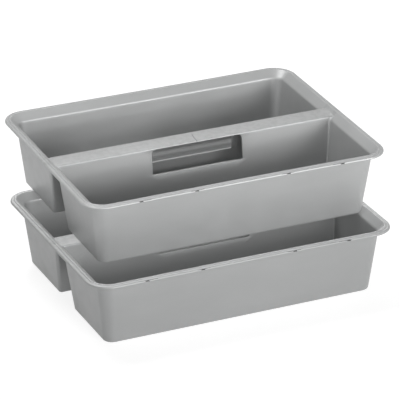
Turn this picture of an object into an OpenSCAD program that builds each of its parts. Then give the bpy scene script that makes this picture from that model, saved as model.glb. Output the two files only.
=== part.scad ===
// Tool storage caddy, a pair stacked: two identical trays moulded in one piece each.
// A tray has two long bins, joined by the bridge of a hand grip and by the flared rim.
// The upper tray stands on the rear rim and on the bridge of the lower one.

/* [Tray] */
// Length of a tray over its rim
tray_l = 400; // [340:1:460]
// Width of a tray over its rim
tray_w = 300; // [260:1:340]
// Height of a tray
tray_h = 87; // [70:1:110]
// Thickness of walls, floors and bridge
wall_t = 2.4; // [1.8:0.1:3]

/* [Rim] */
// Corner radius of the rim, seen from above
rim_r = 30; // [25:0.5:40]
// Width of the flat band on top of the rim
rim_w = 7; // [5:0.5:9]
// Height of the lip that hangs from the rim's outer edge
lip_h = 3.3; // [2.8:0.1:6]
// Radius of the rim's outer top edge
rim_edge_r = 1.2; // [0.5:0.1:1.8]
// Height of the flare between the walls and the rim
flare_h = 8.5; // [7:0.5:12]
// How far the walls stand inside the rim's outer edge, under the flare
shoulder_in = 14.3; // [12:0.1:17]

/* [Bins] */
// How far the foot of the walls stands inside the rim's outer edge
foot_in = 23.4; // [20:0.1:28]
// Corner radius of the walls at the foot
foot_r = 12; // [8:0.5:16]
// Size of the eased edge round the foot
foot_edge = 3; // [2.5:0.5:5]
// Corner radius where an end wall turns into the bridge's side
channel_r = 4; // [3:0.5:6]

/* [Bridge] */
// Width of the bridge's flat top
bridge_w = 27; // [22:1:32]
// How far the bridge's top lies below the rim
bridge_drop = 4.2; // [3.5:0.1:6]
// How far each side of the bridge leans out, per unit of height
bridge_draft = 0.15; // [0.05:0.01:0.2]
// Radius of the bridge's top edges
bridge_edge_r = 1.5; // [0.5:0.1:2]

/* [Hand grip] */
// Width of the grip opening
grip_w = 122; // [90:1:140]
// Height of the grip opening, up to the underside of the bridge's top
grip_h = 31.6; // [25:0.2:40]
// Radius of the grip opening's upper corners
grip_r = 6; // [2:0.5:10]

/* [Lip nicks] */
// Width of a nick in the front lip
nick_w = 5; // [3:0.5:8]
// Height of a nick
nick_h = 1.4; // [0.5:0.1:2.5]
// Distance of the inner pair from the middle
nick_near = 60.5; // [40:0.5:90]
// Distance of the outer pair from the middle
nick_far = 132.5; // [110:0.5:150]

/* [Stack] */
// How far the upper tray is set back
set_back = 48; // [30:1:60]
// How far the upper tray is set to the right
set_right = 13; // [0:1:20]
// Clearance where the upper tray rests
rest_gap = 0.3; // [0.1:0.1:1]

/* [Hidden] */
silver_grey = "#A9ABAA";
round_fn = 96;
hull_fn = 32;
thin = 0.01;   // slab that stands for a flat outline inside a hull
over = 1;      // how far a cutting shape runs past the face it cuts

shoulder_z = tray_h - flare_h;
bridge_z = tray_h - bridge_drop;
bridge_under = bridge_z - wall_t;
shoulder_r = rim_r - shoulder_in;

// The upper tray tips forward until it meets the lower bridge's front edge,
// with its back still on the inner edge of the lower rear rim.
rear_seat_y = tray_w / 2 - rim_w;
front_seat_y = -bridge_w / 2;
tilt = atan(bridge_drop / (rear_seat_y - front_seat_y));
seat_z = bridge_z + rest_gap + (set_back - front_seat_y) * tan(tilt);

// The frame's origin lies under the middle of the whole stack, on the floor.
upper_back_y = set_back + tray_w / 2 * cos(tilt) - (tray_h - lip_h) * sin(tilt);
mid_x = set_right / 2;
mid_y = (upper_back_y - tray_w / 2) / 2;

// Inset of the outer wall face from the rim's outer edge, at height z
function wall_in(z) = foot_in - (foot_in - shoulder_in) * z / shoulder_z;
// Outer corner radius of a wall at height z
function wall_r(z) = foot_r + (shoulder_r - foot_r) * z / shoulder_z;
// Half the width of the open channel under the bridge, at height z
function channel_half(z) = bridge_w / 2 - wall_t + bridge_draft * (bridge_z - z);
// Inset of the flare's inner face at height z
function flare_in(z) = rim_w + (shoulder_in + wall_t - rim_w) * (tray_h - z) / flare_h;

// One level of a front bin's outline, moved inwards by d, with its edge eased by e
module bin_level(z, d, e) {
    x = tray_l / 2 - wall_in(z) - d - e;
    y_front = tray_w / 2 - wall_in(z) - d - e;
    y_back = channel_half(z) + d + e;
    r_front = wall_r(z) - d;
    r_back = channel_r - d;
    for (sx = [-1, 1]) {
        translate([sx * (x - r_front), r_front - y_front, z]) cylinder(r = r_front, h = thin);
        translate([sx * (x - r_back), -y_back - r_back, z]) cylinder(r = r_back, h = thin);
    }
}

// Solid form of a front bin: d moves it inwards, base is its lowest level
module bin_form(d, base, top) {
    hull($fn = hull_fn) {
        bin_level(base, d, foot_edge, $fn = hull_fn);
        bin_level(base + foot_edge, d, 0, $fn = hull_fn);
        bin_level(top, d, 0, $fn = hull_fn);
    }
}

// Grip opening, as a prism along Y with rounded upper corners, up to the bridge
module grip_cut() {
    top = bridge_under;
    x = grip_w / 2;
    translate([0, tray_w / 4, 0]) rotate([90, 0, 0]) linear_extrude(tray_w / 2) union() {
        polygon([[-x, top - grip_h], [x, top - grip_h], [x, top - grip_r],
                 [x - grip_r, top], [grip_r - x, top], [-x, top - grip_r]]);
        for (sx = [-1, 1]) translate([sx * (x - grip_r), top - grip_r]) circle(grip_r, $fn = round_fn);
    }
}

module front_bin() {
    difference() {
        union() {
            difference() {
                bin_form(0, 0, shoulder_z - thin);
                bin_form(wall_t, wall_t, shoulder_z + over);
            }
            between_flares() inner_wall_top();
        }
        grip_cut();
    }
}

// Section of the last piece of the inner wall, from the shoulder up to the bridge
module inner_wall_top() {
    y_foot = -channel_half(shoulder_z - thin);
    y_top = -channel_half(bridge_under);
    polygon([[y_foot - wall_t, shoulder_z], [y_foot, shoulder_z],
             [y_top, bridge_under], [y_top - wall_t, bridge_under]]);
}

module rear_bin() {
    mirror([0, 1, 0]) front_bin();
}

// Flat top of the hand grip: joins the two bins' inner walls and carries the load
module bridge() {
    between_flares() bridge_section();
}

module bridge_section() {
    foot_y = channel_half(bridge_under) + wall_t;
    e = bridge_edge_r;
    intersection() {
        union() {
            polygon([[-foot_y, bridge_under], [foot_y, bridge_under],
                     [bridge_w / 2, bridge_z - e], [bridge_w / 2 - e, bridge_z],
                     [e - bridge_w / 2, bridge_z], [-bridge_w / 2, bridge_z - e]]);
            for (s = [-1, 1]) translate([s * (bridge_w / 2 - e), bridge_z - e]) circle(e, $fn = round_fn);
        }
        translate([-bridge_w, bridge_under]) square([bridge_w * 2, wall_t]);
    }
}

// Extrudes a section along X until it meets the rim's flare at both ends
module between_flares() {
    intersection() {
        translate([-tray_l / 2, 0, 0]) rotate([90, 0, 90]) linear_extrude(tray_l) children();
        rotate([90, 0, 0]) linear_extrude(bridge_w * 2, center = true) polygon([
            for (s = [[-1, shoulder_z], [1, shoulder_z], [1, bridge_z + over], [-1, bridge_z + over]])
                [s[0] * (tray_l / 2 - flare_in(s[1])), s[1]]
        ]);
    }
}

// Section through the rim: x runs outwards from the outer edge, y is the height
module rim_section() {
    e = rim_edge_r;
    union() {
        polygon([
            [-shoulder_in - wall_t, shoulder_z], [-rim_w, tray_h], [-e, tray_h], [0, tray_h - e],
            [0, tray_h - lip_h], [-wall_t, tray_h - lip_h], [-wall_t, tray_h - wall_t],
            [-rim_w, tray_h - wall_t], [-shoulder_in, shoulder_z]
        ]);
        translate([-e, tray_h - e]) circle(e, $fn = round_fn);
    }
}

// One side of the rim with the corner at its end, turned by a quarter turn each time
module rim_side(length, half_span) {
    translate([half_span, length / 2 - rim_r, 0]) rotate([90, 0, 0]) linear_extrude(length - 2 * rim_r) rim_section();
    translate([half_span - rim_r, length / 2 - rim_r, 0])
        rotate_extrude(angle = 90, $fn = round_fn) translate([rim_r, 0]) rim_section();
}

module rim() {
    difference() {
        union() for (k = [0 : 3]) rotate(90 * k)
            rim_side(k % 2 == 0 ? tray_w : tray_l, (k % 2 == 0 ? tray_l : tray_w) / 2);
        for (sx = [-1, 1]) for (x = [nick_near, nick_far])
            translate([sx * x, -tray_w / 2, tray_h - lip_h]) cube([nick_w, wall_t * 1.5, nick_h * 2], center = true);
    }
}

// Places for the two trays
module in_lower_tray() {
    translate([-mid_x, -mid_y, 0]) children();
}

module in_upper_tray() {
    translate([set_right - mid_x, set_back - mid_y, seat_z]) rotate([tilt, 0, 0]) children();
}

module lower_front_bin() { color(silver_grey) in_lower_tray() front_bin(); }
module lower_rear_bin() { color(silver_grey) in_lower_tray() rear_bin(); }
module lower_bridge() { color(silver_grey) in_lower_tray() bridge(); }
module lower_rim() { color(silver_grey) in_lower_tray() rim(); }
module upper_front_bin() { color(silver_grey) in_upper_tray() front_bin(); }
module upper_rear_bin() { color(silver_grey) in_upper_tray() rear_bin(); }
module upper_bridge() { color(silver_grey) in_upper_tray() bridge(); }
module upper_rim() { color(silver_grey) in_upper_tray() rim(); }

lower_front_bin();
lower_rear_bin();
lower_bridge();
lower_rim();
upper_front_bin();
upper_rear_bin();
upper_bridge();
upper_rim();
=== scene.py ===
"""Two identical tool storage caddies, stacked askew, moulded in silver-grey polypropylene.

Each caddy is one continuous moulding: two drafted bins, a hollow hand-grip bridge between
them and a flared rim with a hanging lip.  Sizes are millimetres until a mesh is placed.
"""
import math

import bmesh
import bpy
from mathutils import Matrix, Vector


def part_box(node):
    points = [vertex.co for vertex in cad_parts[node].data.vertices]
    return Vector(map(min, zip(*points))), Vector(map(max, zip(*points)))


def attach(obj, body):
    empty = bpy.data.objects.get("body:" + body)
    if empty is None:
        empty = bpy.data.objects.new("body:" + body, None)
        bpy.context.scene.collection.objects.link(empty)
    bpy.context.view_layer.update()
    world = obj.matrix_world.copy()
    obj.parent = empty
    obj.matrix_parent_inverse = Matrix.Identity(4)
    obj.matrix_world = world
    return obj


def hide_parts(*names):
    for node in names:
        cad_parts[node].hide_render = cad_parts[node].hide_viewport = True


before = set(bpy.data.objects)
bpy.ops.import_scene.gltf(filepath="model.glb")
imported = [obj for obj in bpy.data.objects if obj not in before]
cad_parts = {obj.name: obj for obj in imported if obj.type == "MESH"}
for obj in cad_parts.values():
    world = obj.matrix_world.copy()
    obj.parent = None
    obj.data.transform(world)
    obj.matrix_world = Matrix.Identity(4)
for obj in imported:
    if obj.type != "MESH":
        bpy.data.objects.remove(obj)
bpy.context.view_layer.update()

MM = 0.001

# One caddy, in its own frame: origin under its middle, Z up, bridge along X
LENGTH = 400.0
WIDTH = 300.0
HEIGHT = 87.0
WALL = 2.4

RIM_R = 30.0          # corner radius of the rim from above
RIM_BAND = 7.0        # flat band on top of the rim
LIP_H = 3.3           # hanging lip
FLARE_H = 8.5         # flare between walls and rim
SHOULDER_IN = 14.3    # walls stand this far inside the rim, under the flare
FOOT_IN = 23.4        # and this far at the floor
FOOT_R = 12.0         # corner radius of the walls at the floor
FOOT_EDGE = 3.0       # eased edge round the floor
CHANNEL_R = 4.0       # corner between an end wall and the bridge's side

BRIDGE_W = 27.0       # flat top of the hand grip
BRIDGE_DROP = 4.2     # its top lies this far below the rim
BRIDGE_DRAFT = 0.15   # its sides lean out, per unit of height
BRIDGE_EDGE = 1.5     # its rounded top edges

GRIP_W = 122.0
GRIP_H = 31.6         # from the underside of the bridge's top downwards
GRIP_R = 6.0          # upper corners of the opening
GRIP_FOOT_R = 1.2     # lower corners

NICK_W = 5.0          # nicks in the front lip
NICK_H = 2.0
NICK_DEEP = 1.8
NICKS_AT = (-132.5, -60.5, 60.5, 132.5)

SET_BACK = 48.0       # the upper caddy stands this much further back
SET_RIGHT = 13.0      # and this much to the right
REST_GAP = 0.3        # with this clearance where it rests

# Small radii and marks that only the dressed part carries
LIP_LEAN = 0.3        # the lip's face leans in towards the top, to leave the mould
LIP_EDGE = 1.8        # lip to band
SEAM_UP = 0.4         # the skins from above and below meet this high on the lip's face
BEAD_H = 0.75         # low bead along the inner edge of the band on top of the rim
BEAD_FROM = 4.4       # inset where it starts to rise
BEAD_TO = 5.2         # inset where it reaches its full height
TOP_CROWN = 0.4       # the bridge's top is a little domed
BAND_EDGE = 1.5       # band to flare
SHOULDER_EDGE = 4.5   # flare to wall, inside
INSIDE_CROOK = 2.0    # corner between an end wall and the bridge's side, inside
END_RISE = 0.3        # fillet where the bridge's top runs into the flare
END_FILLET = 3.0
WELL_FILLET = 7.5     # wall to floor, inside
GRIP_EDGE = 0.3       # eased edges of the grip opening
GRIP_INTO_TOP = 0.2   # the opening thins the underside of the bridge's top this much
CREASE = 35.0         # degrees; sharper folds than this stay crisp
BOW = 1.3             # cooling pulls the long sides in at mid length
SMALLEST_CROOK = 0.3

# The same on the underside
UNDER_LIP_EDGE = 0.4  # the lip's lower edges
UNDER_LIP_ROOT = 0.3  # inner face of the lip to the underside of the band
UNDER_BAND_EDGE = 1.5
UNDER_BRIDGE_EDGE = 1.0
UNDER_SHOULDER_EDGE = 0.8
UNDER_CROOKS = (1.6, 2.4)  # corner between end wall and bridge, at the shoulder's top and foot

SHOULDER_Z = HEIGHT - FLARE_H
BRIDGE_Z = HEIGHT - BRIDGE_DROP
LIP_Z = HEIGHT - LIP_H
GRIP_TOP = BRIDGE_Z - WALL + GRIP_INTO_TOP
GRIP_FOOT = BRIDGE_Z - WALL - GRIP_H
SHOULDER_R = RIM_R - SHOULDER_IN
FAR = 60.0            # any place far along a floor, to aim the arc of its fillet
DEEP = 50.0           # any place far down the bridge's side, to aim the arc of its edge
FLOOR_RING = 3.0      # last outline of a floor inside its fillet
UNDER_RING = 2.0      # the same on the underside
JOINED = 0.0005       # points closer than this are one

# Points along one outline of a bin
END_STEPS = 8         # along an end wall
CORNER_STEPS = 16     # round an outer corner
CROOK_STEPS = 8       # round the corner between bridge and end wall
# Share of the half length at which the long lines have a point, close together at the ends
LONG_SHARES = (1.0, 0.997, 0.993, 0.98, 0.95, 0.9, 0.8, 0.7, 0.6, 0.5, 0.4, 0.3, 0.2, 0.1, 0.0)
# Share of the bridge's half width at which its top has a line
TOP_SHARES = (0.0, 0.35, 0.7, 0.9, 1.0)
# Insets of the lines along the band, close together on the bead
BAND_LINES = (2.8, 3.8, 4.4, 4.53, 4.67, 4.8, 4.93, 5.07, 5.2, 5.8)
# Heights of the lines round the flare above the bridge's top and above its underside
OVER_BRIDGE = (2.0, 0.8)
OVER_UNDERSIDE = (2.0, 0.7)
# Share of the way down the flare and down the walls at which the inside has a line
FLARE_SHARES = (0.4, 0.8)
WALL_SHARES = (0.04, 0.12, 0.25, 0.4, 0.55, 0.7, 0.85, 0.95)
# Height and crook of the lines down the outside of the walls
OUTSIDE_LINES = ((76.0, 3.0), (73.0, 3.6)) + tuple(
    (z, CHANNEL_R) for z in (69.0, 58.0, 46.0, 34.0, 22.0, 12.0, 6.0))


def wall_in(z):
    """Inset of the outer face of a wall from the rim's edge, at height z."""
    return FOOT_IN - (FOOT_IN - SHOULDER_IN) * z / SHOULDER_Z


def wall_r(z):
    """Outer corner radius of a wall at height z, seen from above."""
    return FOOT_R + (SHOULDER_R - FOOT_R) * z / SHOULDER_Z


def mix(a, b, t):
    return a + (b - a) * t


def eased_corner(before, corner, after, radius, steps):
    """Points of an arc that rounds the corner of a section."""
    a, b, c = Vector(before), Vector(corner), Vector(after)
    u, v = (a - b).normalized(), (c - b).normalized()
    half = u.angle(v) / 2
    centre = b + (u + v).normalized() * (radius / math.sin(half))
    start = b + u * (radius / math.tan(half)) - centre
    end = b + v * (radius / math.tan(half)) - centre
    sweep = math.atan2(start.x * end.y - start.y * end.x, start.dot(end))
    turns = [Matrix.Rotation(sweep * i / steps, 2) @ start for i in range(steps + 1)]
    return [tuple(centre + t) for t in turns]


def long_line(half):
    """Places along a long line, from +half to -half."""
    shares = list(LONG_SHARES) + [-s for s in reversed(LONG_SHARES[:-1])]
    return [half * s for s in shares]


def band_z(inset):
    """Height of the band on top of the rim: flat, then a low bead along its inner edge."""
    t = min(1.0, max(0.0, (inset - BEAD_FROM) / (BEAD_TO - BEAD_FROM)))
    return HEIGHT - BEAD_H * (1 + math.cos(math.pi * t)) / 2


def end_rise(gap, share):
    """Height of the fillet at the bridge's end: gap is the distance to the flare."""
    near = max(0.0, 1 - gap / END_FILLET)
    return END_RISE * near * near * (1 - share ** 4)


def corner_arc(x, y, radius, z):
    """Quarter round from the end wall to the long wall."""
    turns = [math.pi / 2 * i / CORNER_STEPS for i in range(CORNER_STEPS + 1)]
    return [(x - radius + radius * math.cos(a), y - radius + radius * math.sin(a), z) for a in turns]


def rim_outline(inset, z, radius, bridge_y, rise=(0.0, 0.0)):
    """Outline of the rear half above the bridge, from Y = 0 round to Y = 0."""
    x, y = LENGTH / 2 - inset, WIDTH / 2 - inset
    dome, fillet = rise
    right = [(x, bridge_y * s, z + dome * (1 - s * s) + fillet * end_rise(0, s)) for s in TOP_SHARES]
    right += [(x, mix(bridge_y, y - radius, i / END_STEPS), z) for i in range(1, END_STEPS)]
    right += corner_arc(x, y, radius, z)
    across = [(v, y, z) for v in long_line(x - radius)[1:-1]]
    left = [(-px, py, pz) for px, py, pz in reversed(right)]
    return right + across + left


def bin_outline(inset, z, radius, bridge_y, bridge_z, crook):
    """Closed outline of the rear bin: outer sides at height z, bridge side at bridge_z."""
    x, y = LENGTH / 2 - inset, WIDTH / 2 - inset
    right = []
    for i in range(CROOK_STEPS + 1):
        t = i / CROOK_STEPS
        a = math.pi / 2 * (t - 1)
        height = mix(bridge_z, z, t * t * (3 - 2 * t))
        right.append((x - crook + crook * math.cos(a), bridge_y + crook + crook * math.sin(a), height))
    right += [(x, mix(bridge_y + crook, y - radius, i / END_STEPS), z) for i in range(1, END_STEPS)]
    right += corner_arc(x, y, radius, z)
    across = [(v, y, z) for v in long_line(x - radius)[1:-1]]
    left = [(-px, py, pz) for px, py, pz in reversed(right)]
    side = [(-v, bridge_y, bridge_z) for v in long_line(x - crook)[1:-1]]
    return right + across + left + side


def bridge_lines(inset, z, bridge_y, rise):
    """Lines along the top of the bridge, from its middle to its edge."""
    half = LENGTH / 2 - inset
    dome, fillet = rise
    return [[(v, bridge_y * s, z + dome * (1 - s * s) + fillet * end_rise(half - abs(v), s))
             for v in long_line(half)] for s in TOP_SHARES]


def skin(bm, lines, closed=False):
    """Quads between neighbouring lines that have as many points."""
    rows = [[bm.verts.new(p) for p in line] for line in lines]
    count = len(rows[0])
    for low, high in zip(rows, rows[1:]):
        for i in range(count if closed else count - 1):
            j = (i + 1) % count
            bm.faces.new((low[i], low[j], high[j], high[i]))
    return rows


def inside_levels():
    """Sections of everything seen from above: (rim levels, bin levels).

    A rim level is (inset, z); a bin level is (inset, z, radius, bridge_y, bridge_z, crook).
    """
    wall_top = (SHOULDER_IN + WALL, SHOULDER_Z)
    wall_foot = (wall_in(WALL) + WALL, WALL)
    band = band_z(0)
    rim = [(0.0, LIP_Z + SEAM_UP)]
    rim += eased_corner((0, LIP_Z), (LIP_LEAN, band), (WALL, band), LIP_EDGE, 6)
    rim += [(s, band_z(s)) for s in BAND_LINES]
    rim += eased_corner((BEAD_TO, HEIGHT), (RIM_BAND, HEIGHT), wall_top, BAND_EDGE, 4)

    def flare_s(z):
        return mix(RIM_BAND, wall_top[0], (HEIGHT - z) / FLARE_H)

    rim += [(flare_s(BRIDGE_Z + up), BRIDGE_Z + up) for up in OVER_BRIDGE]

    face_y = BRIDGE_W / 2

    def side_y(z):
        return face_y + BRIDGE_DRAFT * (BRIDGE_Z - z)

    bins = []
    edge = eased_corner((0, BRIDGE_Z + TOP_CROWN), (face_y, BRIDGE_Z - TOP_CROWN),
                        (side_y(BRIDGE_Z - DEEP), BRIDGE_Z - DEEP), BRIDGE_EDGE, 5)
    # Round the bridge's edge the outer sides come down the flare, and the crook opens
    for i, (y, z) in enumerate(edge):
        down = i / 5
        outer_z = edge[0][1] - BRIDGE_EDGE * 0.9 * down
        crook = INSIDE_CROOK * (1 - (1 - down) ** 2)
        bins.append((flare_s(outer_z), outer_z, RIM_R - flare_s(outer_z), y, z, crook))

    shoulder = eased_corner((RIM_BAND, HEIGHT), wall_top, wall_foot, SHOULDER_EDGE, 6)
    z_edge = bins[-1][1]
    for t in FLARE_SHARES:
        z = mix(z_edge, shoulder[0][1], t)
        bins.append((flare_s(z), z, RIM_R - flare_s(z), side_y(z), z, INSIDE_CROOK))
    for s, z in shoulder:
        bins.append((s, z, RIM_R - s, side_y(z), z, INSIDE_CROOK))
    fillet = eased_corner(wall_top, wall_foot, (FAR, WALL), WELL_FILLET, 6)
    for t in WALL_SHARES:
        z = mix(shoulder[-1][1], fillet[0][1], t)
        bins.append((wall_in(z) + WALL, z, wall_r(z) - WALL, side_y(z), z, INSIDE_CROOK))
    side_fillet = eased_corner((face_y, BRIDGE_Z), (side_y(WALL), WALL), (FAR, WALL), WELL_FILLET, 6)
    for (s, z), (y, bridge_z) in zip(fillet, side_fillet):
        gone = s - (wall_in(z) + WALL)
        radius = wall_r(z) - WALL - gone
        bins.append((s, z, radius, y, bridge_z, max(SMALLEST_CROOK, INSIDE_CROOK - gone)))
    s, z, radius, y, bridge_z, crook = bins[-1]
    inner_radius = max(SMALLEST_CROOK, radius - FLOOR_RING)
    bins.append((s + FLOOR_RING, z, inner_radius, y + FLOOR_RING, bridge_z, crook))
    return rim, bins


def under_levels():
    """Sections of everything seen from below, in the same form."""
    under_rim = HEIGHT - WALL
    shoulder_at = (SHOULDER_IN, SHOULDER_Z)
    rim = [(0.0, LIP_Z + SEAM_UP)]
    rim += eased_corner((0, HEIGHT), (0, LIP_Z), (WALL, LIP_Z), UNDER_LIP_EDGE, 3)[1:]
    rim += eased_corner((0, LIP_Z), (WALL, LIP_Z), (WALL, under_rim), UNDER_LIP_EDGE, 3)
    rim += eased_corner((WALL, LIP_Z), (WALL, under_rim), (RIM_BAND, under_rim), UNDER_LIP_ROOT, 2)
    rim += eased_corner((WALL, under_rim), (RIM_BAND, under_rim), shoulder_at, UNDER_BAND_EDGE, 3)

    def flare_s(z):
        return mix(RIM_BAND, SHOULDER_IN, (under_rim - z) / (under_rim - SHOULDER_Z))

    top = BRIDGE_Z - WALL
    rim += [(flare_s(top + up), top + up) for up in OVER_UNDERSIDE]

    def side_y(z):
        return BRIDGE_W / 2 - WALL + BRIDGE_DRAFT * (BRIDGE_Z - z)

    bins = []
    edge = eased_corner((0, top), (side_y(top), top), (side_y(0), 0), UNDER_BRIDGE_EDGE, 4)
    for i, (y, z) in enumerate(edge):
        outer_z = top - 0.2 * i
        bins.append((flare_s(outer_z), outer_z, RIM_R - flare_s(outer_z), y, z, 0.3 * i))
    shoulder = eased_corner((RIM_BAND, under_rim), shoulder_at, (FOOT_IN, 0), UNDER_SHOULDER_EDGE, 3)
    for i, (s, z) in enumerate(shoulder):
        bins.append((s, z, RIM_R - s, side_y(z), z, mix(*UNDER_CROOKS, i / 3)))
    for z, crook in OUTSIDE_LINES:
        bins.append((wall_in(z), z, wall_r(z), side_y(z), z, crook))
    fillet = eased_corner(shoulder_at, (FOOT_IN, 0), (FAR, 0), FOOT_EDGE, 6)
    side_fillet = eased_corner((side_y(SHOULDER_Z), SHOULDER_Z), (side_y(0), 0), (FAR, 0), FOOT_EDGE, 6)
    for (s, z), (y, bridge_z) in zip(fillet, side_fillet):
        gone = s - wall_in(z)
        bins.append((s, z, wall_r(z) - gone, y, bridge_z, max(0.5, CHANNEL_R - gone)))
    s, z, radius, y, bridge_z, crook = bins[-1]
    bins.append((s + UNDER_RING, z, radius - UNDER_RING, y + UNDER_RING, bridge_z, crook))
    return rim, bins


def moulding_half(bm, rim, bins, rise):
    """Skins one side of the rear half: rim, flat of the bridge, bin and its floor."""
    top = bins[0]
    # The first outline is the seam between the two skins, so both give it the same points
    outlines = [rim_outline(*rim[0], RIM_R, BRIDGE_W / 2 - WALL)]
    outlines += [rim_outline(s, z, RIM_R - s, top[3]) for s, z in rim[1:]]
    outlines.append(rim_outline(top[0], top[1], top[2], top[3], rise))
    skin(bm, outlines)
    skin(bm, bridge_lines(top[0], top[4], top[3], rise))
    rows = skin(bm, [bin_outline(*level) for level in bins], closed=True)
    bm.faces.new(rows[-1])


def bowed(p):
    """A point after the long sides have drawn in while cooling."""
    share = max(0.0, 1 - (p.x / (LENGTH / 2 - RIM_R)) ** 2)
    far = max(0.0, (abs(p.y) - BRIDGE_W) / (WIDTH / 2 - BRIDGE_W))
    high = min(1.0, max(0.0, p.z / SHOULDER_Z))
    return Vector((p.x, p.y - math.copysign(BOW * share * far * far * high, p.y), p.z))


def caddy_skin():
    """The whole moulding as one closed mesh, in millimetres, before it is cut."""
    bm = bmesh.new()
    rim, bins = inside_levels()
    moulding_half(bm, rim, bins, (BRIDGE_Z - bins[0][4], 1.0))
    rim, bins = under_levels()
    moulding_half(bm, rim, bins, (0.0, 0.0))
    bmesh.ops.remove_doubles(bm, verts=bm.verts, dist=JOINED)
    copy = bmesh.ops.duplicate(bm, geom=bm.verts[:] + bm.edges[:] + bm.faces[:])
    for v in copy["geom"]:
        if isinstance(v, bmesh.types.BMVert):
            v.co.y = -v.co.y
    bmesh.ops.remove_doubles(bm, verts=bm.verts, dist=JOINED)
    for v in bm.verts:
        v.co = bowed(v.co)
    bmesh.ops.recalc_face_normals(bm, faces=bm.faces)
    return bm


def new_object(name, bm):
    mesh = bpy.data.meshes.new(name)
    bm.to_mesh(mesh)
    bm.free()
    obj = bpy.data.objects.new(name, mesh)
    bpy.context.scene.collection.objects.link(obj)
    return obj


def prism(bm, outline, y0, y1):
    """Closed prism between two depths from an outline of (x, z) points."""
    front = [bm.verts.new((x, y0, z)) for x, z in outline]
    back = [bm.verts.new((x, y1, z)) for x, z in outline]
    bm.faces.new(front)
    bm.faces.new(list(reversed(back)))
    for i in range(len(outline)):
        j = (i + 1) % len(outline)
        bm.faces.new((front[i], back[i], back[j], front[j]))


def grip_outline():
    """Outline of the hand grip: round upper corners and tight lower ones."""
    x, top, foot = GRIP_W / 2, GRIP_TOP, GRIP_FOOT
    outline = eased_corner((x, top), (x, foot), (-x, foot), GRIP_FOOT_R, 3)
    outline += [(-px, pz) for px, pz in reversed(outline)]
    upper = eased_corner((-x, foot), (-x, top), (x, top), GRIP_R, 8)
    return outline + upper + [(-px, pz) for px, pz in reversed(upper)]


def cutters():
    """Everything that is cut from a moulding: the grip and the nicks in the front lip."""
    bm = bmesh.new()
    prism(bm, grip_outline(), -BRIDGE_W * 1.5, BRIDGE_W * 1.5)
    for x in NICKS_AT:
        front = bowed(Vector((x, -WIDTH / 2, LIP_Z))).y
        w = NICK_W / 2
        side = [(w, LIP_Z - 1), (w, LIP_Z + NICK_H * 0.6), (w * 0.7, LIP_Z + NICK_H)]
        notch = [(x - w, LIP_Z - 1)] + [(x + dx, z) for dx, z in side]
        notch += [(x - dx, z) for dx, z in reversed(side[1:])]
        prism(bm, notch, front - 1, front + NICK_DEEP)
    bmesh.ops.recalc_face_normals(bm, faces=bm.faces)
    return new_object("cutters", bm)


def ease_grip(obj):
    """Small round edges where the grip opening meets the bridge's sides."""
    bm = bmesh.new()
    bm.from_mesh(obj.data)
    slack = 0.01
    x, foot, top = GRIP_W / 2 + slack, GRIP_FOOT - slack, GRIP_TOP + slack
    rim_edges = []
    for e in bm.edges:
        inside = all(abs(v.co.x) <= x and foot <= v.co.z <= top and abs(v.co.y) < BRIDGE_W for v in e.verts)
        if inside and len(e.link_faces) == 2:
            lean = sorted(abs(f.normal.y) for f in e.link_faces)
            if lean[0] < 0.3 and lean[1] > 0.9:
                rim_edges.append(e)
    bmesh.ops.bevel(bm, geom=rim_edges, offset=GRIP_EDGE, segments=2, profile=0.5, affect="EDGES")
    bm.to_mesh(obj.data)
    bm.free()


def mark_nicks(mesh):
    """Face attribute that is 1 inside the nicks, where the material paints shade."""
    slack = 0.05
    values = []
    for face in mesh.polygons:
        x, y, z = face.center
        nearest = min(NICKS_AT, key=lambda at: abs(at - x))
        depth = y - bowed(Vector((nearest, -WIDTH / 2, LIP_Z))).y
        beside = abs(x - nearest) < NICK_W / 2 + slack
        within = beside and 0.3 < depth < NICK_DEEP + slack and z < LIP_Z + NICK_H + slack
        values.append(1.0 if within else 0.0)
    # The material colours these faces dark as painted shade
    mesh.attributes.new("nick_painted_shade", "FLOAT", "FACE").data.foreach_set("value", values)


def note_place(mesh):
    """Point attribute with the place in the caddy's own frame, in metres, for the patterns."""
    spots = [c * MM for v in mesh.vertices for c in v.co]
    mesh.attributes.new("in_caddy", "FLOAT_VECTOR", "POINT").data.foreach_set("vector", spots)


def cut_and_eased(blank, tools):
    """Applies the cuts and returns the finished mesh."""
    cut = blank.modifiers.new("cuts", "BOOLEAN")
    cut.operation = "DIFFERENCE"
    cut.solver = "EXACT"
    cut.object = tools
    graph = bpy.context.evaluated_depsgraph_get()
    mesh = bpy.data.meshes.new_from_object(blank.evaluated_get(graph))
    blank.modifiers.clear()
    blank.data = mesh
    ease_grip(blank)
    mark_nicks(blank.data)
    note_place(blank.data)
    blank.data.shade_smooth()
    blank.data.set_sharp_from_angle(angle=math.radians(CREASE))
    return blank


# ---------------------------------------------------------------- finishes

def srgb(code):
    """Linear colour of an sRGB hex value."""
    parts = [int(code[i:i + 2], 16) / 255 for i in (1, 3, 5)]
    linear = [c / 12.92 if c <= 0.04045 else ((c + 0.055) / 1.055) ** 2.4 for c in parts]
    return (*linear, 1.0)


def add(tree, kind, settings=None, **links):
    """Adds a node: settings go to its properties or input values, links to its inputs.

    An input is called by its name, or by its number (as i1 in a link) where names repeat.
    """
    node = tree.nodes.new(kind)
    for key, value in (settings or {}).items():
        if isinstance(key, str) and hasattr(node, key):
            setattr(node, key, value)
        else:
            node.inputs[key].default_value = value
    for key, socket in links.items():
        slot = int(key[1:]) if key[0] == "i" and key[1:].isdigit() else key.replace("_", " ")
        tree.links.new(socket, node.inputs[slot])
    return node


def new_material(name):
    material = bpy.data.materials.new(name)
    material.use_nodes = True
    material.node_tree.nodes.clear()
    return material, material.node_tree


def falling(start, end):
    """Settings of a map that gives 1 up to start and 0 from end on."""
    return {"From Min": start, "From Max": end, "To Min": 1.0, "To Max": 0.0}


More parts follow.
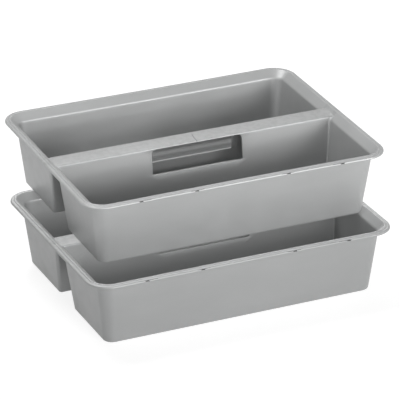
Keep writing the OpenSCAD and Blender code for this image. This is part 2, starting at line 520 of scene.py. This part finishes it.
def rising(start, end, most=1.0):
    """Settings of a map that gives 0 up to start and the most from end on."""
    return {"From Min": start, "From Max": end, "To Min": 0.0, "To Max": most}


# The weld line across the bridge's top, in metres in the caddy's own frame
WELD_APEX = -0.01     # Y of the place where it is furthest left
WELD_REACH = 0.016    # this far from there
WELD_BEND = 0.002     # it has bent this far to the right
WELD_SIDES = (0.0004, 0.0012)  # half its width: full, and faded out
WELD_END = (0.004, 0.01)       # Y where it fades out at the rear
# The bridge's top begins between these heights, and ends between these distances from its middle
TOP_BEGINS = (0.0806, 0.0812)
TOP_ENDS = (0.0136, 0.015)


def weld_line(tree, at):
    """1 on the thin curved line where two flow fronts met."""
    maths = "ShaderNodeMath"
    along = add(tree, maths, {"operation": "MULTIPLY_ADD", 1: 1 / WELD_REACH, 2: -WELD_APEX / WELD_REACH},
                i0=at["Y"])
    bend = add(tree, maths, {"operation": "MULTIPLY"}, i0=along.outputs[0], i1=along.outputs[0])
    off = add(tree, maths, {"operation": "MULTIPLY_ADD", 1: -WELD_BEND}, i0=bend.outputs[0], i2=at["X"])
    away = add(tree, maths, {"operation": "ABSOLUTE"}, i0=off.outputs[0])
    line = add(tree, "ShaderNodeMapRange", falling(*WELD_SIDES), Value=away.outputs[0])
    fade = add(tree, "ShaderNodeMapRange", falling(*WELD_END), Value=at["Y"])
    return add(tree, maths, {"operation": "MULTIPLY"}, i0=line.outputs[0], i1=fade.outputs[0]).outputs[0]


def on_bridge_top(tree, at):
    """1 on the top of the bridge and 0 elsewhere."""
    above = add(tree, "ShaderNodeMapRange", rising(*TOP_BEGINS), Value=at["Z"])
    across = add(tree, "ShaderNodeMath", {"operation": "ABSOLUTE"}, i0=at["Y"])
    within = add(tree, "ShaderNodeMapRange", falling(*TOP_ENDS), Value=across.outputs[0])
    return add(tree, "ShaderNodeMath", {"operation": "MULTIPLY"},
               i0=above.outputs[0], i1=within.outputs[0]).outputs[0]


def silver_grey_polypropylene():
    """Injection-moulded polypropylene with aluminium pigment: a satin grey that turns light
    towards the lamp and dark in the wells, with a fine spark-eroded grain."""
    material, tree = new_material("silver-grey polypropylene, satin moulded")
    place = add(tree, "ShaderNodeAttribute", {"attribute_name": "in_caddy"}).outputs["Vector"]
    # Pigment flakes are under 0.1 mm; drawn at 0.7 mm so that they still show as a faint bloom
    flakes = add(tree, "ShaderNodeTexNoise", {"Scale": 1400.0, "Detail": 2.0, "Roughness": 0.6},
                 Vector=place)
    # The melt runs lengthwise from the gate: cloudy bands about 120 x 40 mm
    stretch = add(tree, "ShaderNodeMapping", {"Scale": (8.0, 25.0, 25.0)}, Vector=place)
    flow = add(tree, "ShaderNodeTexNoise", {"Scale": 1.0, "Detail": 3.0, "Roughness": 0.5},
               Vector=stretch.outputs["Vector"])
    bloom = add(tree, "ShaderNodeMath", {"operation": "MULTIPLY", 1: 0.35}, i0=flakes.outputs["Fac"])
    cloud = add(tree, "ShaderNodeMath", {"operation": "MULTIPLY_ADD", 1: 0.65},
                i0=flow.outputs["Fac"], i2=bloom.outputs["Value"])
    tint = add(tree, "ShaderNodeValToRGB", Fac=cloud.outputs["Value"])
    tint.color_ramp.elements[0].position = 0.3
    tint.color_ramp.elements[0].color = srgb("#A2A3A3")
    tint.color_ramp.elements[1].position = 0.7
    tint.color_ramp.elements[1].color = srgb("#AAABAB")
    # Gloss wanders a little with the mould's polish, over about 15 mm
    polish = add(tree, "ShaderNodeTexNoise", {"Scale": 65.0, "Detail": 2.0}, Vector=place)
    gloss = add(tree, "ShaderNodeMapRange",
                {"From Min": 0.3, "From Max": 0.7, "To Min": 0.40, "To Max": 0.48},
                Value=polish.outputs["Fac"])
    # Spark-eroded grain of 0.3 mm, drawn at 0.8 mm
    grain = add(tree, "ShaderNodeTexNoise", {"Scale": 1200.0, "Detail": 3.0, "Roughness": 0.55},
                Vector=place)
    bump = add(tree, "ShaderNodeBump", {"Strength": 0.12, "Distance": 0.0001}, Height=grain.outputs["Fac"])
    # On the bridge's top the melt slowed down: mottled over 6 mm, with the weld line across
    at = add(tree, "ShaderNodeSeparateXYZ", Vector=place).outputs
    top = on_bridge_top(tree, at)
    mottle = add(tree, "ShaderNodeTexNoise", {"Scale": 160.0, "Detail": 1.0, "Roughness": 0.4},
                 Vector=place)
    blotch = add(tree, "ShaderNodeMapRange", rising(0.4, 0.65, 0.22), Value=mottle.outputs["Fac"])
    mark = add(tree, "ShaderNodeMath", {"operation": "MAXIMUM"},
               i0=blotch.outputs["Result"], i1=weld_line(tree, at))
    marked = add(tree, "ShaderNodeMath", {"operation": "MULTIPLY"}, i0=mark.outputs[0], i1=top)
    welded = add(tree, "ShaderNodeMix", {"data_type": "RGBA", 7: srgb("#7E7F7F")},
                 Factor=marked.outputs[0], i6=tint.outputs["Color"])
    # Painted shade in the nicks of the lip: their faces are coloured dark, as if in shadow
    nick = add(tree, "ShaderNodeAttribute", {"attribute_name": "nick_painted_shade"})
    colour = add(tree, "ShaderNodeMix", {"data_type": "RGBA", 7: srgb("#4A4A49")},
                 Factor=nick.outputs["Fac"], i6=welded.outputs[2])
    # The pigment's flakes make it part metal
    shader = add(tree, "ShaderNodeBsdfPrincipled", {"Metallic": 0.35, "IOR": 1.49},
                 Base_Color=colour.outputs[2], Roughness=gloss.outputs["Result"],
                 Normal=bump.outputs["Normal"])
    add(tree, "ShaderNodeOutputMaterial", Surface=shader.outputs["BSDF"])
    return material


def seen_directly(tree):
    """1 for what the eye, a reflection or glass shows, and 0 for light that bounces."""
    path = add(tree, "ShaderNodeLightPath")
    seen = add(tree, "ShaderNodeMath", {"operation": "ADD"},
               i0=path.outputs["Is Camera Ray"], i1=path.outputs["Is Glossy Ray"])
    return add(tree, "ShaderNodeMath", {"operation": "ADD", "use_clamp": True},
               i0=seen.outputs["Value"], i1=path.outputs["Is Transmission Ray"]).outputs["Value"]


def white_studio_floor():
    """Painted white board: real bounce light for the caddies, plain white to the eye, and the
    contact shadow kept. The quiet board takes the lamps' light and shadow, and the glow lifts it."""
    material, tree = new_material("white painted board, matt")
    board = add(tree, "ShaderNodeBsdfDiffuse", {"Color": srgb("#F0F0F0")})
    quiet = add(tree, "ShaderNodeBsdfDiffuse", {"Color": srgb("#989898")})
    glow = add(tree, "ShaderNodeEmission", {"Color": (1, 1, 1, 1), "Strength": 0.86})
    shown = add(tree, "ShaderNodeAddShader", i0=quiet.outputs["BSDF"], i1=glow.outputs["Emission"])
    both = add(tree, "ShaderNodeMixShader", Fac=seen_directly(tree),
               i1=board.outputs["BSDF"], i2=shown.outputs["Shader"])
    add(tree, "ShaderNodeOutputMaterial", Surface=both.outputs["Shader"])
    return material


# ---------------------------------------------------------------- the two caddies

tilt = math.atan(BRIDGE_DROP / (WIDTH / 2 - RIM_BAND + BRIDGE_W / 2))
seat_z = BRIDGE_Z + REST_GAP + (SET_BACK + BRIDGE_W / 2) * math.tan(tilt)
low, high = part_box("lower_rim")
stand = Vector(((low.x + high.x) / 2, (low.y + high.y) / 2, 0.0))

to_metres = Matrix.Scale(MM, 4)
place_lower = Matrix.Translation(stand) @ to_metres
place_upper = (Matrix.Translation(stand + Vector((SET_RIGHT, SET_BACK, seat_z)) * MM)
               @ Matrix.Rotation(tilt, 4, "X") @ to_metres)

plastic = silver_grey_polypropylene()
tools = cutters()
moulding = cut_and_eased(new_object("caddy_blank", caddy_skin()), tools)

caddies = {}
for level, place in (("lower", place_lower), ("upper", place_upper)):
    name = level + "_caddy"
    caddy = bpy.data.objects.new(name + "_moulding", moulding.data.copy())
    bpy.context.scene.collection.objects.link(caddy)
    caddy.data.transform(place)
    caddy.data.materials.clear()
    caddy.data.materials.append(plastic)
    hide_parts(*[level + part for part in ("_front_bin", "_rear_bin", "_bridge", "_rim")])
    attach(caddy, name)
    caddies[level] = caddy

bpy.data.objects.remove(moulding)
bpy.data.objects.remove(tools)

# ---------------------------------------------------------------- studio

LAMP_AWAY = 2.3       # all softboxes stand as far away, in metres
LAMP_SIZE = (1.0, 0.6)
# Name, azimuth (0 in front, 90 to the right) and elevation in degrees, and power in watts.
# Each caddy is lit apart, so each has its own set
LAMPS = {
    "upper": (
        ("front_right_softbox", 30, 15, 25.7),
        ("low_right_softbox", 30, 4, 6.7),
        ("front_left_softbox", -10, 15, 10.2),
        ("low_front_softbox", -10, 4, 6.8),
        ("left_softbox", -70, 15, 10.9),
        ("high_left_softbox", -50, 45, 5.9),
        ("high_back_left_softbox", -120, 65, 19.5),
        ("back_right_softbox", 160, 45, 6.4),
    ),
    "lower": (
        ("front_right_softbox", 10, 15, 18.8),
        ("front_left_softbox", -10, 28, 9.3),
        ("low_right_softbox", 50, 4, 9.9),
        ("high_back_left_softbox", -160, 65, 21.8),
        ("back_right_softbox", 160, 45, 10.5),
        ("low_back_softbox", 160, 4, 7.3),
    ),
}
AIM_Z = 0.09          # middle of the stack
FLOOR_RADIUS = 6.0
FLOOR_GAP = 0.0002    # keeps the floor clear of the lower caddy's feet
DAYLIGHT = 0.02       # strength of the world's even light


def floor():
    bm = bmesh.new()
    bmesh.ops.create_circle(bm, cap_ends=True, radius=FLOOR_RADIUS, segments=96)
    for v in bm.verts:
        v.co.z = -FLOOR_GAP
    board = new_object("studio_floor", bm)
    board.data.materials.append(white_studio_floor())
    return board


def group(name, *members):
    """Objects that a set of lamps lights, or that throw shadows in its light."""
    members_of = bpy.data.collections.new(name)
    for obj in members:
        members_of.objects.link(obj)
    return members_of


def softbox(name, azimuth, elevation, power, lit, shading):
    """Area lamp aimed at the stack that lights one group and is shaded by another."""
    lamp = bpy.data.lights.new(name, "AREA")
    lamp.shape = "RECTANGLE"
    lamp.size, lamp.size_y = LAMP_SIZE
    lamp.energy = power
    obj = bpy.data.objects.new(name, lamp)
    a, e = math.radians(azimuth), math.radians(elevation)
    back = Vector((math.sin(a) * math.cos(e), -math.cos(a) * math.cos(e), math.sin(e)))
    obj.location = Vector((0, 0, AIM_Z)) + back * LAMP_AWAY
    obj.rotation_euler = back.to_track_quat("Z", "Y").to_euler()
    obj.visible_camera = False
    obj.light_linking.receiver_collection = lit
    obj.light_linking.blocker_collection = shading
    bpy.context.scene.collection.objects.link(obj)


def daylight_world(strength):
    """Dim even light from all round, behind a background that is plain white to the eye."""
    world = bpy.data.worlds.new("white studio")
    bpy.context.scene.world = world
    world.use_nodes = True
    tree = world.node_tree
    tree.nodes.clear()
    dim = add(tree, "ShaderNodeBackground", {"Color": (1, 1, 1, 1), "Strength": strength})
    white = add(tree, "ShaderNodeBackground", {"Color": (1, 1, 1, 1), "Strength": 1.0})
    both = add(tree, "ShaderNodeMixShader", Fac=seen_directly(tree),
               i1=dim.outputs["Background"], i2=white.outputs["Background"])
    add(tree, "ShaderNodeOutputWorld", Surface=both.outputs["Shader"])


def camera(lens, yaw, elevation, roll, distance, target):
    """Long-lens camera to the left of the front, looking down."""
    data = bpy.data.cameras.new("camera")
    data.lens = lens
    data.sensor_width = 36.0
    data.clip_start, data.clip_end = 0.1, 50.0
    obj = bpy.data.objects.new("camera", data)
    a, e, t = math.radians(yaw), math.radians(elevation), math.radians(roll)
    back = Vector((-math.sin(a) * math.cos(e), -math.cos(a) * math.cos(e), math.sin(e)))
    right = (-back).cross(Vector((0, 0, 1))).normalized()
    up = right.cross(-back)
    right, up = right * math.cos(t) + up * math.sin(t), up * math.cos(t) - right * math.sin(t)
    turn = Matrix((right, up, back)).transposed().to_4x4()
    obj.matrix_world = Matrix.Translation(target + back * distance) @ turn
    bpy.context.scene.collection.objects.link(obj)
    bpy.context.scene.camera = obj


board = floor()
daylight_world(DAYLIGHT)
lower, upper = caddies["lower"], caddies["upper"]
# Each caddy shades only itself, and the floor has the shadow of the one that stands on it
for level, lit, shading in (
        ("upper", group("upper_lit", upper), group("upper_shading", upper, board)),
        ("lower", group("lower_lit", lower, board), group("lower_shading", lower, board))):
    for name, azimuth, elevation, power in LAMPS[level]:
        softbox(name + "_on_" + level, azimuth, elevation, power, lit, shading)
camera(lens=253.59, yaw=24.207, elevation=24.580, roll=-0.217, distance=3.5071,
       target=Vector((0.00880, 0.00594, 0.08739)))
bpy.context.scene.view_settings.view_transform = "Standard"
